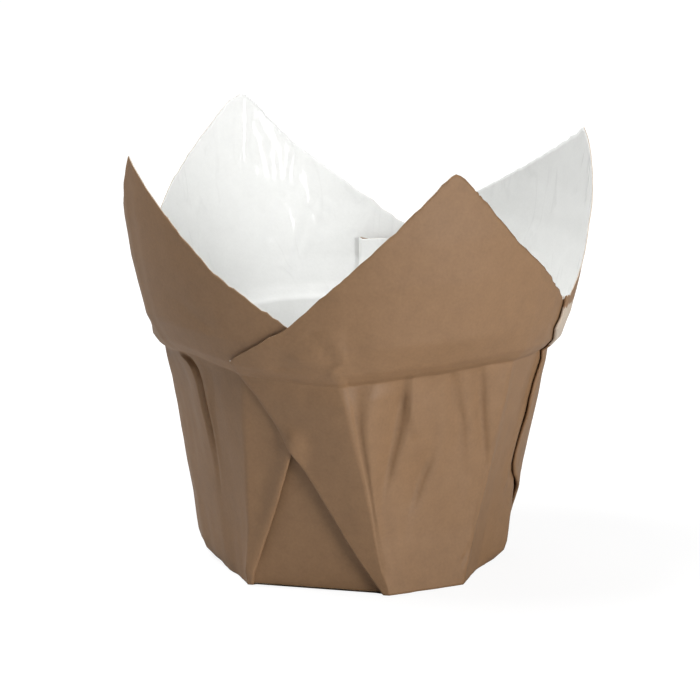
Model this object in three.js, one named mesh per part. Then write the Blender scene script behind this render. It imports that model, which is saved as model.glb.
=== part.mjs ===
import * as THREE from 'three';

// Tulip baking cup: one square sheet of baking paper pressed into a cup. The four corners of the
// sheet stand up as petals and the paper between them is laid in box pleats.
// Lengths are in millimetres. Angles are in degrees about +Z, from the front petal (-Y) toward
// the right petal (+X). A fold table gives [share of the shoulder height, angle from the notch].

const PAPER = 0.2;
const LAYER_PITCH = 0.55;
const BASE_RADIUS = 25;
const SHOULDER_HEIGHT = 36.8;
const SHOULDER_RADIUS = 31;
const SHOULDER_CREASE = 0.4;
const RIM_RADIUS = 37.4;
const RIM_HEIGHT = 67.8;
const PLEAT_FOOT = 0.5;
const PLEAT_START = 3;
const PLEAT_DEPTH = 12.6;
const CORNER_ROUNDING = 0.5;
const ROUND_FROM = 0.9;
const ROUND_SPAN = 0.35;
const CREASE_DEPTH = 1;
const FLAP_SPREAD = 0.42;

const UPPER_RISE = RIM_HEIGHT - SHOULDER_HEIGHT;
const BEND_RADIUS = LAYER_PITCH / 2;
const BEND_STEPS = 3;
const RETURN_STEPS = 4;
const MIN_TURN = 0.002;
// Height at which a station's place along the cut edge is read, as a share of the shoulder height.
const RIM_PROBE = 1.1;
const NOTCH_SHARES = [0.25, 0.5, 0.75];
const PLAIN_SHARES = [1 / 3, 2 / 3];
const SQUARE_TURN = 90;
const FULL_TURN = 360;

// Share of the way from base radius to shoulder radius, and from shoulder radius to rim radius.
const LOWER_FLARE = [[0, 0], [0.26, 0.15], [0.5, 0.4], [0.73, 0.7], [0.93, 0.93], [1, 1]];
const UPPER_FLARE = [[0, 0], [0.026, 0.17], [0.07, 0.36], [0.2, 0.6], [0.36, 0.77], [0.5, 0.9],
  [0.71, 1], [1, 1.02]];
const LOWER_LEVELS = [0, 0.014, 0.032, 0.05, 0.07, 0.095, 0.17, 0.28, 0.42, 0.56, 0.7, 0.82, 0.92];
const UPPER_LEVELS = [0.1, 0.26, 0.48, 0.74, 1];
// How deep a pleat reaches under its flap, as a share of its depth at the shoulder.
const PLEAT_GROWTH = [[0, 0.01], [0.052, 0.03], [0.088, 0.07], [0.18, 0.2], [0.3, 0.34],
  [0.57, 0.62], [0.82, 0.86], [1, 1], [1.25, 1.12]];
// The shoulder crease dips and rises round the cup: [angle, height above its mean].
const SHOULDER_WAVE = [[0, 0.7], [20, 1.3], [40, 0.8], [60, -0.4], [76, -1], [100, -0.6],
  [135, 0], [180, 0.4], [215, -1.2], [246, -2.2], [258, -1], [270, 0.9], [278, 1.4], [301, 0.2],
  [330, -0.7], [356, 0.6], [360, 0.7]];
const WAVE_FOOT = 0.6;
// The pressed wall is a little out of round: [angle, radius added] below and above the shoulder,
// and the share of the lower one that is reached at each share of the shoulder height.
const LOWER_SWELL = [[0, 0], [45, 0], [66, 1.35], [98, 0], [200, 0], [246, 2.15], [287, 0], [360, 0]];
const UPPER_SWELL = [[0, 0], [200, 0], [246, -0.5], [285, 0], [360, 0]];
const SWELL_PROFILE = [[0, 0.35], [0.04, 0.8], [0.08, 0.95], [0.2, 1], [0.4, 0.9], [0.55, 0.65], [0.68, 0.3],
  [0.82, 0.08], [1, 0]];
const SWELL_SPAN = 6;

const smooth = (x) => THREE.MathUtils.smoothstep(x, 0, 1);
const radians = THREE.MathUtils.degToRad;

/** Value of a table of [position, value] pairs at x, straight between its points. */
function lookUp(table, x) {
  if (x <= table[0][0]) return table[0][1];
  for (let i = 1; i < table.length; i += 1) {
    const [x1, y1] = table[i];
    if (x > x1) continue;
    const [x0, y0] = table[i - 1];
    return y0 + (y1 - y0) * (x - x0) / (x1 - x0);
  }
  return table[table.length - 1][1];
}

// A petal: where its axis points, how far its tip leans out, its cut edge as [angle from the
// axis, height], the two corners of the wall at base and shoulder, and its creases. A crease is
// a line up the wall: [share of shoulder height, angle from the axis, lift off the wall].
const FRONT_PETAL = {
  axis: 0,
  lean: 0.5,
  edge: [[-59, 37.9], [-40.8, 44.3], [-19.9, 56.7], [-3.5, 66.9], [-1, 67.8], [1.5, 66.7],
    [10.8, 60.5], [17.7, 56.1], [34.5, 48.5], [45, 44.6]],
  corners: [[-12.6, 18.7], [-28, 28]],
  creases: [
    [[0, -12, 0], [0.16, -16.6, 0.3], [0.48, -21.4, 0.4], [0.9, -26, 0.4], [1, -28, 0]],
    [[0, -11, 0], [0.2, -13.5, 0], [0.43, -17.5, -0.4], [0.8, -21.3, -0.6], [1, -23, -0.1]],
    [[0, -9.5, 0], [0.4, -15.2, 0.1], [0.8, -16.2, 0.2], [1, -17, 0]],
    [[0, -8, 0], [0.39, -13.2, 0], [0.7, -10.8, -0.3], [0.85, -8.4, -0.5], [1, -9.5, 0]],
    [[0, -4, 0], [0.45, -7, 0], [0.8, -4.8, 0.2], [1, -5, 0]],
    [[0, -1, 0], [1, -1, 0]],
    [[0, 3, 0], [0.6, 4, -0.15], [1, 2, 0]],
    [[0, 8, 0], [0.45, 15, 0], [0.67, 12.9, -0.3], [0.85, 9.2, -0.45], [1, 6, 0]],
    [[0, 10.5, 0], [0.5, 18.6, 0.1], [0.85, 14, 0.15], [1, 10.8, 0]],
    [[0, 14, 0], [0.5, 23, 0], [0.64, 22, -0.2], [0.83, 18.8, -0.4], [1, 16, 0]],
    [[0, 18.7, 0], [0.3, 25.5, 0.15], [0.6, 28.4, 0.25], [0.9, 28.2, 0.2], [1, 26.5, 0]],
    [[0, 22, 0], [0.3, 30, -0.25], [0.6, 32.4, -0.3], [1, 31, 0]],
  ],
};
const RIGHT_PETAL = {
  axis: 90,
  lean: 1.5,
  edge: [[-46, 45.2], [-36, 49], [-24, 57.5], [-10, 66.6], [-6, 68.4], [-2, 67], [4.7, 65],
    [32, 55.1], [53, 47]],
  corners: [[-6.5, 28], [-28, 28]],
  creases: [
    [[0, -6.5, 0], [1, -28, 0]],
    [[0, -2, 0], [0.5, -10, 0], [0.85, -11, -0.45], [1, -13, 0]],
    [[0, 3, 0], [1, -6, 0]],
    [[0, 8, 0], [0.5, 5, 0], [0.85, 1, 0.25], [1, 1, 0]],
    [[0, 14, 0], [0.45, 12, 0], [0.82, 8, -0.45], [1, 9, 0]],
    [[0, 28, 0], [1, 28, 0]],
  ],
};
const BACK_PETAL = {
  axis: 180,
  lean: 1.7,
  edge: [[-50, 43.5], [-36.2, 49], [-22.7, 55], [-8, 62.5], [2, 69.6], [5, 70.8], [9, 69.4],
    [18.7, 63.1], [33.7, 54.4], [52, 42.5]],
  corners: [[-15.2, 18], [-27, 27]],
  creases: [
    [[0, -15, 0], [1, -27, 0]],
    [[0, -8, 0], [0.5, -12, 0], [0.85, -10, -0.45], [1, -11, 0]],
    [[0, -2, 0], [1, -3, 0]],
    [[0, 5, 0], [1, 5, 0]],
    [[0, 11, 0], [0.4, 13, 0], [0.8, 11, -0.5], [1, 13, 0]],
    [[0, 18, 0], [1, 27, 0]],
  ],
};
const LEFT_PETAL = {
  axis: 270,
  lean: 0.8,
  edge: [[-51, 41], [-35, 47], [-8, 61], [-1.5, 66], [1, 66.8], [3.5, 65], [15.1, 60.3],
    [30.1, 51.9], [43, 46.4], [50.5, 43.4]],
  corners: [[-40.1, 22.4], [-27, 31.2]],
  creases: [
    [[0, -40.1, 0], [1, -27, 0]],
    [[0, -18, 0], [0.5, -11, 0], [0.85, -8, -0.4], [1, -7, 0]],
    [[0, 1, 0], [1, 1, 0]],
    [[0, 7, 0], [0.35, 11.5, 0.1], [0.63, 12.4, 0.4], [0.95, 12, 0.5], [1, 9, 0.1]],
    [[0, 9.5, 0], [0.35, 13.6, 0], [0.63, 14.2, -0.6], [0.95, 13.8, -0.7], [1, 12, -0.1]],
    [[0, 15, 0], [0.3, 18.5, 0.15], [0.64, 17.2, 0.2], [0.82, 18.2, 0.2], [1, 20.5, 0]],
    [[0, 21.6, 0], [0.11, 24, 0.1], [0.48, 26.8, 0.2], [1, 31.2, 0]],
  ],
};
const PETALS = [FRONT_PETAL, RIGHT_PETAL, BACK_PETAL, LEFT_PETAL];

// A pleat lies at each notch between two petals. Each petal ends there in a flap with a folded
// edge; the flap named on top lies over the other. The notch panel is the paper behind both.
const FRONT_RIGHT_PLEAT = {
  notch: 45,
  top: 'left',
  rim: 44,
  left: {
    rim: 44.6,
    depth: 1,
    fold: [[0, 5], [0.14, 10], [0.35, 15.9], [0.76, 15.9], [0.91, 12], [1, 7], [1.03, 2.5],
      [1.13, -1], [1.22, 0]],
  },
  right: { rim: 45.2, depth: 0.95, fold: [[0, 36], [0.35, 22], [0.76, 13], [1, 5], [1.22, -1]] },
};
const BACK_RIGHT_PLEAT = {
  notch: 135,
  top: 'right',
  rim: 46.4,
  left: { rim: 47, depth: 0.95, fold: [[0, -15], [0.2, -11], [0.64, 0], [1, 6], [1.22, 8]] },
  right: { rim: 43.5, depth: 1.05, fold: [[0, 26], [0.3, 14], [0.64, 2.5], [1, -4], [1.22, -5]] },
};
const BACK_LEFT_PLEAT = {
  notch: 225,
  top: 'left',
  rim: 45,
  left: { rim: 42.5, depth: 1.05, fold: [[0, -24.5], [0.3, -15], [0.64, -3], [1, 6], [1.22, 7]] },
  right: { rim: 41, depth: 0.95, fold: [[0, 3], [0.25, 2.5], [0.64, 1], [1, -5], [1.22, -6]] },
};
const FRONT_LEFT_PLEAT = {
  notch: 315,
  top: 'right',
  rim: 43.5,
  left: {
    rim: 43.4,
    depth: 0.95,
    fold: [[0, -21.4], [0.03, -20.6], [0.22, -14.1], [0.41, -7.2], [0.64, -0.2], [1, 5], [1.2, 5.5]],
  },
  right: {
    rim: 37.9,
    depth: 1.05,
    fold: [[0, 31], [0.12, 24], [0.25, 17], [0.46, 7.5], [0.64, -0.2], [0.79, -5], [0.92, -9.5],
      [1, -13.9]],
  },
};
const PLEATS = [FRONT_RIGHT_PLEAT, BACK_RIGHT_PLEAT, BACK_LEFT_PLEAT, FRONT_LEFT_PLEAT];

/** Angles of the eight wall corners at a height, in order round the cup. */
function wallCorners(share) {
  return PETALS.flatMap(({ axis, corners: [low, high] }) => (
    low.map((angle, i) => axis + THREE.MathUtils.lerp(angle, high[i], share))
  ));
}

/** Radius of an eight-sided ring of unit corner radius, at an angle. */
function ringRadius(corners, angle) {
  const wrapped = THREE.MathUtils.euclideanModulo(angle - corners[0], FULL_TURN) + corners[0];
  const ring = [...corners, corners[0] + FULL_TURN];
  const next = Math.max(1, ring.findIndex((corner) => corner >= wrapped));
  const half = (ring[next] - ring[next - 1]) / 2;
  const middle = ring[next] - half;
  return Math.cos(radians(half)) / Math.cos(radians(wrapped - middle));
}

/** How far the wall stands out of round at an angle and height. */
function swell(angle, height) {
  const turn = THREE.MathUtils.euclideanModulo(angle, FULL_TURN);
  const below = lookUp(LOWER_SWELL, turn) * lookUp(SWELL_PROFILE, height / SHOULDER_HEIGHT);
  const above = lookUp(UPPER_SWELL, turn);
  return THREE.MathUtils.lerp(below, above, smooth((height - SHOULDER_HEIGHT) / SWELL_SPAN));
}

/** Radius of the wall's middle surface where no layer is stacked. */
function wallRadius(angle, height) {
  const share = height / SHOULDER_HEIGHT;
  const above = (height - SHOULDER_HEIGHT) / UPPER_RISE;
  const outward = above > 0 ? lookUp(UPPER_FLARE, above) * (RIM_RADIUS - SHOULDER_RADIUS) : 0;
  const corner = BASE_RADIUS + lookUp(LOWER_FLARE, share) * (SHOULDER_RADIUS - BASE_RADIUS);
  const rounded = smooth((share - ROUND_FROM) / ROUND_SPAN);
  const rounding = CORNER_ROUNDING * share + (1 - CORNER_ROUNDING) * rounded;
  const ring = ringRadius(wallCorners(Math.min(share, 1)), angle);
  return THREE.MathUtils.lerp(ring, 1, Math.min(rounding, 1)) * corner + outward + swell(angle, height);
}

/** How far a petal's tip leans out beyond the wall, at an angle from its axis. */
function tipLean(petal, offAxis, height) {
  const rise = Math.max(0, (height - SHOULDER_HEIGHT) / UPPER_RISE);
  return petal.lean * rise * rise * Math.cos(radians(Math.min(SQUARE_TURN, Math.abs(offAxis))));
}

/** How far the folded layers have turned over at a height, from 0 to a half turn. */
function foldTurn(height) {
  const open = (height - PLEAT_FOOT) / (PLEAT_START - PLEAT_FOOT);
  return Math.max(MIN_TURN, Math.PI * Math.min(1, open));
}

/** Share of the full stacking offset that a fold of this turn gives. */
function stacking(turn) {
  return Math.PI * (1 - Math.cos(turn)) / (2 * turn);
}

/** Point a distance behind the folded edge, on the paper that runs back under the flap. */
function stepBack(edge, turn, distance) {
  return {
    travel: edge.travel + distance * Math.cos(turn),
    offset: edge.offset - distance * Math.sin(turn),
    along: Math.sin(turn),
    out: Math.cos(turn),
  };
}

/**
 * Section of one fold, from the petal's flap round its edge, back under it and round again into
 * the notch panel. Each point has its travel along the wall, its offset and the paper's facing.
 */
function foldSection(turn, valleyRadius, width) {
  const points = [];
  const bend = (start, radius, from, to) => {
    const scale = Math.PI * radius / turn;
    for (let i = 0; i <= BEND_STEPS; i += 1) {
      const now = from + (to - from) * i / BEND_STEPS;
      const way = Math.sign(to - from);
      points.push({
        travel: start.travel + way * scale * (Math.sin(now) - Math.sin(from)),
        offset: start.offset + way * scale * (Math.cos(now) - Math.cos(from)),
        along: Math.sin(now),
        out: Math.cos(now),
      });
    }
  };
  bend({ travel: 0, offset: 0 }, BEND_RADIUS, 0, turn);
  const edge = points[points.length - 1];
  for (let i = 1; i < RETURN_STEPS; i += 1) points.push(stepBack(edge, turn, width * i / RETURN_STEPS));
  bend(stepBack(edge, turn, width), valleyRadius, turn, 0);
  return points;
}

/** Offset of a flap's paper from the wall: the top flap stands out and the other sinks in. */
function flapOffset(pleat, side, height) {
  return (pleat.top === side ? 1 : -1) * LAYER_PITCH * stacking(foldTurn(height));
}

/** Angle where a flap begins to bend at its folded edge. */
function flapAngle(pleat, side, height) {
  return pleat.notch + lookUp(pleat[side].fold, height / SHOULDER_HEIGHT);
}

/** Stations of one fold at a height, ordered from the flap to the notch panel. */
function foldStations(pleat, side, height) {
  const sign = side === 'left' ? 1 : -1;
  const valley = pleat.top === side ? 3 * BEND_RADIUS : BEND_RADIUS;
  const width = PLEAT_DEPTH * pleat[side].depth * lookUp(PLEAT_GROWTH, height / SHOULDER_HEIGHT);
  const start = flapAngle(pleat, side, height);
  const perMillimetre = 180 / Math.PI / wallRadius(start, height);
  const base = flapOffset(pleat, side, height);
  const points = foldSection(foldTurn(height), valley, width);
  return points.map(({ travel, offset, along, out }, i) => ({
    angle: start + sign * travel * perMillimetre,
    offset: base + offset,
    along: sign * along,
    out,
    rim: i <= BEND_STEPS ? pleat[side].rim : pleat.rim,
  }));
}

/** Stations of the notch panel at a height, between its two inner folds. */
function notchStations(pleat, leftFold, rightFold) {
  const from = leftFold[leftFold.length - 1];
  const to = rightFold[rightFold.length - 1];
  return NOTCH_SHARES.map((share) => ({
    angle: THREE.MathUtils.lerp(from.angle, to.angle, share),
    offset: THREE.MathUtils.lerp(from.offset, to.offset, share),
    along: 0,
    out: 1,
    rim: pleat.rim,
  }));
}

/** Stations of a petal's panel at a height: its creases, with a plain one between crease and flap. */
function panelStations(petal, before, after, height) {
  const share = height / SHOULDER_HEIGHT;
  const wrap = before.notch > petal.axis ? FULL_TURN : 0;
  const start = flapAngle(before, 'right', height) - petal.axis - wrap;
  const end = flapAngle(after, 'left', height) - petal.axis;
  const lines = petal.creases.map((crease) => ({
    angle: lookUp(crease.map(([at, angle]) => [at, angle]), share),
    lift: CREASE_DEPTH * lookUp(crease.map(([at, , lift]) => [at, lift]), share),
  }));
  const first = lines[0].angle;
  const last = lines[lines.length - 1].angle;
  const plain = (from, to) => PLAIN_SHARES.map((part) => (
    { angle: THREE.MathUtils.lerp(from, to, part), lift: 0 }
  ));
  const all = [...plain(start, first), ...lines, ...plain(last, end)];
  return all.map(({ angle, lift }) => {
    const flap = angle < 0 ? flapOffset(before, 'right', height) : flapOffset(after, 'left', height);
    const reach = Math.abs(angle / (angle < 0 ? start : end));
    return {
      angle: petal.axis + angle,
      offset: flap * smooth(reach / FLAP_SPREAD) + lift + tipLean(petal, angle, height),
      along: 0,
      out: 1,
      rim: lookUp(petal.edge, angle),
    };
  });
}

/** All stations round the cup at one height, in order. */
function sectionStations(height) {
  return PETALS.flatMap((petal, i) => {
    const before = PLEATS[(i + PLEATS.length - 1) % PLEATS.length];
    const pleat = PLEATS[i];
    const left = foldStations(pleat, 'left', height);
    const right = foldStations(pleat, 'right', height);
    return [...panelStations(petal, before, pleat, height), ...left,
      ...notchStations(pleat, left, right), ...right.reverse()];
  });
}

/** Height by which the wall is raised at an angle to follow the shoulder crease. */
function creaseRise(angle, height) {
  const wave = lookUp(SHOULDER_WAVE, THREE.MathUtils.euclideanModulo(angle, FULL_TURN));
  return wave * smooth((height / SHOULDER_HEIGHT - WAVE_FOOT) / (1 - WAVE_FOOT));
}

/** Point on the outer (side 1) or inner (side -1) face of the paper at a station. */
function facePoint({ angle, offset, along, out }, height, side) {
  const turn = radians(angle);
  const radius = wallRadius(angle, height) + offset + side * out * PAPER / 2;
  const across = side * along * PAPER / 2;
  return new THREE.Vector3(
    radius * Math.sin(turn) + across * Math.cos(turn),
    -radius * Math.cos(turn) + across * Math.sin(turn),
    height + creaseRise(angle, height),
  );
}

/** Heights of the levels at one station, from the base to its rim. */
function levelHeights(rim) {
  const top = SHOULDER_HEIGHT + SHOULDER_CREASE;
  const lower = LOWER_LEVELS.map((share) => share * (SHOULDER_HEIGHT - SHOULDER_CREASE));
  const upper = UPPER_LEVELS.map((share) => THREE.MathUtils.lerp(top, rim, share));
  return [...lower, SHOULDER_HEIGHT - SHOULDER_CREASE, top, ...upper];
}

/** Rings of points on one face of the paper, from the base to the cut edge. */
function faceRings(side) {
  const rims = sectionStations(SHOULDER_HEIGHT * RIM_PROBE).map(({ angle, rim }) => (
    rim - creaseRise(angle, SHOULDER_HEIGHT)
  ));
  const heights = rims.map(levelHeights);
  return heights[0].map((_, level) => rims.map((__, i) => {
    const height = heights[i][level];
    const point = facePoint(sectionStations(height)[i], height, side);
    if (side < 0 && level === 0) point.z += PAPER;
    return point;
  }));
}

/** Triangles of one patch a, b, c, d of the wall, split from a to c or else from b to d. */
function patchCorners([a, b, c, d], splitFromA) {
  return splitFromA ? [a, b, c, a, c, d] : [a, b, d, b, c, d];
}

/** Closed shell of the cup: outer wall, inner wall, cut edge and flat base. */
function cupGeometry() {
  const outer = faceRings(1);
  const inner = faceRings(-1);
  const count = outer[0].length;
  const corners = [];
  for (let i = 0; i < count; i += 1) {
    const next = (i + 1) % count;
    for (let level = 1; level < outer.length; level += 1) {
      const patch = ([low, high]) => [low[i], low[next], high[next], high[i]];
      const out = patch([outer[level - 1], outer[level]]);
      const back = patch([inner[level - 1], inner[level]]).reverse();
      const shorterFromA = out[0].distanceTo(out[2]) < out[1].distanceTo(out[3]);
      corners.push(...patchCorners(out, shorterFromA), ...patchCorners(back, !shorterFromA));
    }
    const [rim, lining] = [outer[outer.length - 1], inner[outer.length - 1]];
    corners.push(...patchCorners([rim[i], rim[next], lining[next], lining[i]], true));
    corners.push(outer[0][next], outer[0][i], new THREE.Vector3(0, 0, 0));
    corners.push(inner[0][i], inner[0][next], new THREE.Vector3(0, 0, PAPER));
  }
  const geometry = new THREE.BufferGeometry().setFromPoints(corners);
  geometry.computeVertexNormals();
  return geometry;
}

const paper = new THREE.MeshStandardMaterial({ color: 0x8a6a4e, roughness: 0.75, metalness: 0 });
const cup = new THREE.Mesh(cupGeometry(), paper);
cup.name = 'tulip_cup';

const group = new THREE.Group();
group.name = 'tulip_baking_cup';
group.add(cup);

export default group;
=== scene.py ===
"""Tulip baking cup: one square sheet of brown baking paper with a glossy white lining, pressed into a cup.

Lengths are in millimetres until the mesh is made. Angles are in degrees about +Z, from the front petal (-Y)
toward the right petal (+X).
"""

import logging
import math
from dataclasses import dataclass, field
from enum import Enum

import bmesh
import bpy
import numpy as np
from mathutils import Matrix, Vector, noise


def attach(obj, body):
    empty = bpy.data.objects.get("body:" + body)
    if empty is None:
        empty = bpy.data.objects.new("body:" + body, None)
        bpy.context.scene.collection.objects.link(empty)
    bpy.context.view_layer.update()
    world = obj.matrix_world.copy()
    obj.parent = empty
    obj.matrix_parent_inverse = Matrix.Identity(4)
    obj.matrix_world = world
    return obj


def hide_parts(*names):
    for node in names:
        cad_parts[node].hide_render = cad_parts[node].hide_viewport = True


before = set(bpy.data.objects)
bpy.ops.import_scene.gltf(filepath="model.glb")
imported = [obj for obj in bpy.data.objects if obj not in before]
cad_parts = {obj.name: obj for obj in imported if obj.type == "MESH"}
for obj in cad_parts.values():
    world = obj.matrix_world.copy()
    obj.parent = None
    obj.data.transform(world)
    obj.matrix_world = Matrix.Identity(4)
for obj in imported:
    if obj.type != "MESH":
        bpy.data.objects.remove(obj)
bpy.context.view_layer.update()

LOG = logging.getLogger("tulip_cup")
MM = 0.001
FULL_TURN = 360.0


class Side(Enum):
    """Side of a notch on which a flap lies, going round the cup."""

    LEFT = 1
    RIGHT = -1


class Relief(Enum):
    """Shape of a small wrinkle across its line."""

    RIDGE = "ridge"
    VALLEY = "valley"
    STEP = "step"


class Face(Enum):
    """Material index of each face of the sheet."""

    OUTSIDE = 0
    LINING = 1
    CUT_EDGE = 2
    # Outer faces painted with the lining's white as it looks in shade
    PALE = 3


@dataclass(frozen=True)
class CupSize:
    """Driving sizes of the cup, in millimetres."""

    paper: float = 0.16
    layer_pitch: float = 0.36
    base_radius: float = 25.0
    shoulder_height: float = 36.8
    shoulder_radius: float = 31.0
    rim_radius: float = 37.4
    rim_height: float = 67.8
    pleat_foot: float = -1.0
    pleat_start: float = -0.5
    foot_height: float = 1.5
    pleat_depth: float = 12.6
    corner_rounding: float = 0.5
    flap_spread: float = 0.42
    lower_levels: int = 50
    upper_levels: int = 46
    bend_steps: int = 4
    return_steps: int = 6
    notch_steps: int = 12
    panel_step: float = 1.25
    # Levels at the foot and over the shoulder's crease, and how the upper ones crowd toward it
    foot_levels: int = 5
    crease_half: float = 0.8
    crease_levels: int = 7
    upper_crowding: float = 1.15
    # Share of the shoulder height where the corners begin to wear round, and over how much of it
    rounding_start: float = 0.9
    rounding_span: float = 0.35
    # Share of the shoulder height from which the wall follows the shoulder's wave
    wave_foot: float = 0.6
    # Height above the shoulder over which the swell changes, and the angle where the left side's begins
    swell_span: float = 6.0
    left_side_start: float = 150.0
    # Shares of the shoulder height where a panel's rim and its spacing are read
    rim_probe: float = 1.12
    spacing_probe: float = 0.7
    # Unfolded ring inside the base's edge, smallest turn of a fold and unevenness of the cut edge
    floor_share: float = 0.97
    least_turn: float = 0.002
    scallop: float = 0.1

    @property
    def upper_rise(self) -> float:
        """Height of the petals above the shoulder."""
        return self.rim_height - self.shoulder_height

    @property
    def bend_radius(self) -> float:
        """Radius of a tight fold between two stacked layers."""
        return self.layer_pitch / 2


Table = tuple[tuple[float, float], ...]


@dataclass(frozen=True)
class Petal:
    """One petal: axis, lean of its tip, cut edge, wall corners and main creases.

    The cut edge is (angle from the axis, height). A crease is (share of shoulder height, angle, lift).
    """

    axis: float
    lean: float
    edge: Table
    corners: tuple[tuple[float, float], tuple[float, float]]
    creases: tuple[tuple[tuple[float, float, float], ...], ...]


@dataclass(frozen=True)
class Flap:
    """A petal's flap at a notch: rim height at its folded edge, pleat depth share and fold line."""

    rim: float
    depth: float
    fold: Table


@dataclass(frozen=True)
class Pleat:
    """The box pleat at a notch, with the flap that lies on top."""

    notch: float
    top: Side
    rim: float
    left: Flap
    right: Flap

    def flap(self, side: Side) -> Flap:
        """The flap on one side of the notch."""
        return self.left if side is Side.LEFT else self.right


@dataclass(frozen=True)
class Wrinkle:
    """A small crease pressed into the paper along a line of (angle, height) points."""

    line: Table
    height: float
    width: float
    relief: Relief = Relief.VALLEY


@dataclass(frozen=True)
class Patch:
    """A patch of the paper, between two angles and two heights."""

    angles: tuple[float, float]
    heights: tuple[float, float]

    def covers(self, angle: np.ndarray, z: np.ndarray) -> np.ndarray:
        """Whether each place lies in the patch."""
        return ((angle > self.angles[0]) & (angle < self.angles[1])
                & (z > self.heights[0]) & (z < self.heights[1]))


@dataclass(frozen=True)
class Cockle:
    """One size of the paper's unevenness: its height, and its spread across and up the wall."""

    height: float
    across: float
    upward: float


@dataclass
class Strip:
    """One station followed up the wall: angle, offset from the wall and facing at each height."""

    angle: np.ndarray
    offset: np.ndarray
    along: np.ndarray
    out: np.ndarray


# The wall's flare as (share of height, share of widening), below the shoulder and above it
LOWER_FLARE: Table = ((0, 0), (0.26, 0.15), (0.5, 0.4), (0.73, 0.7), (0.93, 0.93), (1, 1))
UPPER_FLARE: Table = ((0, 0), (0.012, 0.09), (0.026, 0.17), (0.07, 0.36), (0.2, 0.6), (0.36, 0.77),
                      (0.5, 0.9), (0.71, 1), (1, 1.02))
# Width of the pleats at each share of the shoulder height
PLEAT_GROWTH: Table = ((0, 0.01), (0.052, 0.03), (0.088, 0.07), (0.18, 0.2), (0.3, 0.34), (0.57, 0.62),
                       (0.82, 0.86), (1, 1), (1.25, 1.12))
# Rise of the shoulder's crease round the cup
SHOULDER_WAVE: Table = ((0, -1.3), (20, -0.7), (40, -1), (60, -1.5), (76, -1.5), (100, -0.8), (135, 0),
                        (180, 0.4), (215, -1.2), (246, -2.2), (258, -1.6), (270, -0.7), (278, -0.5),
                        (301, -1.6), (330, -2.3), (356, -1.3), (360, -1.3))
# How far the wall stands out of round at each angle, below and above the shoulder, and how that
# changes up the lower wall on either side
LOWER_SWELL: Table = ((0, 0), (42, 0), (61, 1.35), (70, 0.9), (80, 0), (200, 0), (246, 2.15), (287, 0),
                      (360, 0))
UPPER_SWELL: Table = ((0, 0), (40, 0), (62, -1.1), (98, 0), (200, 0), (246, -1.2), (285, 0), (360, 0))
LEFT_PROFILE: Table = ((0, 0.4), (0.04, 0.95), (0.08, 1.1), (0.2, 1.02), (0.4, 0.9), (0.55, 0.65),
                       (0.68, 0.3), (0.82, 0.08), (1, 0))
RIGHT_PROFILE: Table = ((0, 0.9), (0.04, 1.8), (0.08, 1.9), (0.2, 1.6), (0.32, 1.1), (0.4, 0.5), (0.55, 0.15),
                        (0.7, -0.2), (0.85, -0.5), (1, -0.5))

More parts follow.
